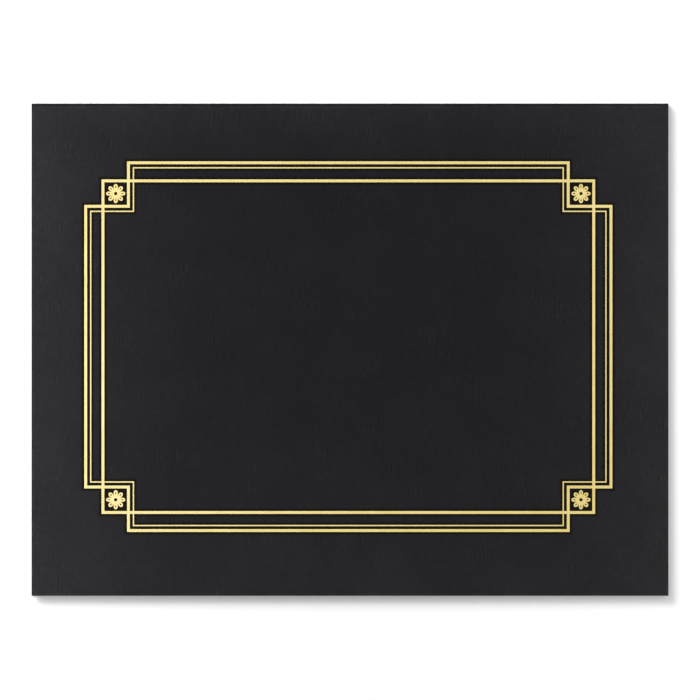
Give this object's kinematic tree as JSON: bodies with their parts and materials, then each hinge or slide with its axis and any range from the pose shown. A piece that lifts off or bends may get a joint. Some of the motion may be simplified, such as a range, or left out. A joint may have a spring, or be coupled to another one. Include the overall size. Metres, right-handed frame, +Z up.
{
  "type": "certificate holder",
  "caption": "Landscape certificate holder of black linen-finish card, folded along its top edge, with a gold foil border on the front and corner pockets inside that grip a certificate.",
  "frame": {"origin": "centre of the bounding box at the back cover's outer face, with the holder lying shut on its back", "axes": "+X to the holder's right, +Y to the folded top edge, +Z up out of the front cover"},
  "size_m": [0.305, 0.2358, 0.0022],
  "materials": {
    "linen_card": "black linen-embossed cover card, matt",
    "pocket_card": "black cover card, matt",
    "glue": "dried paper glue, dull amber",
    "gold_foil": "hot-stamped pale gold foil"
  },
  "bodies": {
    "back": {"back_cover": "linen_card", "top_fold": "linen_card", "corner_pocket_top_left": "pocket_card", "corner_pocket_top_right": "pocket_card", "corner_pocket_bottom_left": "pocket_card", "corner_pocket_bottom_right": "pocket_card", "glue_seam_top_left": "glue", "glue_seam_top_right": "glue", "glue_seam_bottom_left": "glue", "glue_seam_bottom_right": "glue"},
    "front": {"front_cover": "linen_card", "foil_border": "gold_foil", "foil_rosette_top_left": "gold_foil", "foil_rosette_top_right": "gold_foil", "foil_rosette_bottom_left": "gold_foil", "foil_rosette_bottom_right": "gold_foil"}
  },
  "joints": [
    {"name": "cover_fold", "type": "hinge", "parent": "back", "child": "front", "pos_m": [0, 0.1177, 0.00105], "axis": [-1, 0, 0], "range_deg": [0, 180], "deforming": ["top_fold"]}
  ]
}
